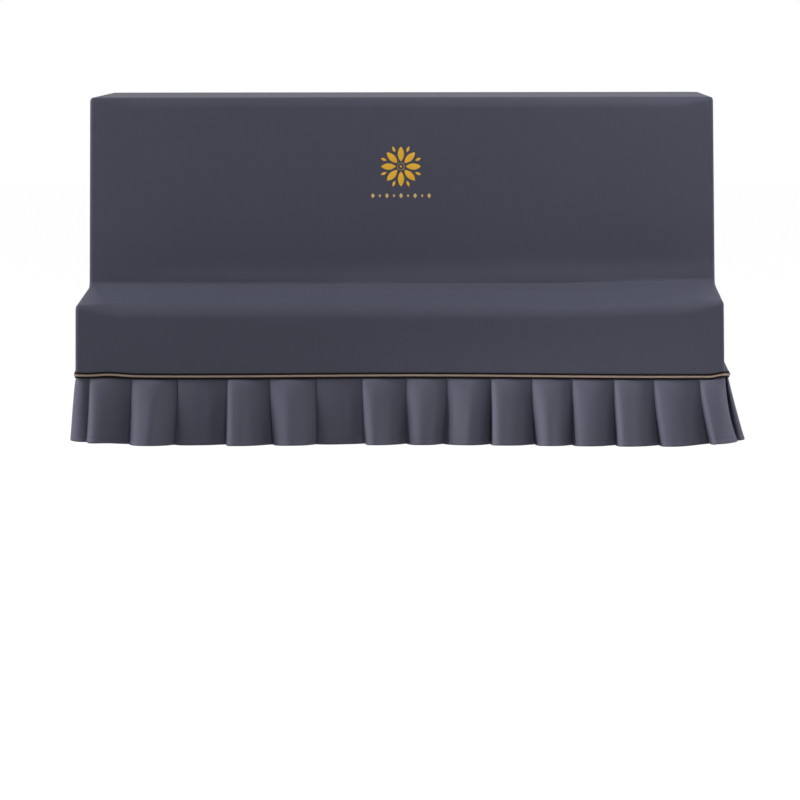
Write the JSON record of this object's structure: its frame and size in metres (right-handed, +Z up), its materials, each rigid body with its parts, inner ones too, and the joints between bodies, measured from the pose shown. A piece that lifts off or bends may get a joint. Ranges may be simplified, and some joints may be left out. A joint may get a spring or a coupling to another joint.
{
  "type": "upright piano cover",
  "caption": "Fitted cloth cover for an upright piano: a stepped box open below, with gilt braid over the lower seam and a knife-pleated frill round the front and sides.",
  "frame": {"origin": "middle of the underside of the top, where the cover rests on the piano's lid", "axes": "+X along the keyboard towards the treble end, +Y to the back of the piano, +Z up"},
  "size_m": [1.62, 0.6576, 0.8196],
  "materials": {
    "cloth": "smooth satin-faced upholstery cloth, cool grey, with a soft sheen",
    "frill_cloth": "the same satin-faced cloth, pleated",
    "tape": "black woven braid tape",
    "gilt_thread": "twisted gilt thread"
  },
  "bodies": {
    "root": {"main_panel": "cloth", "side_panel_left": "cloth", "side_panel_right": "cloth", "back_panel": "cloth", "frill_left": "frill_cloth", "frill_front": "frill_cloth", "frill_right": "frill_cloth", "braid_tape": "tape", "braid_twist": "gilt_thread"}
  },
  "joints": []
}
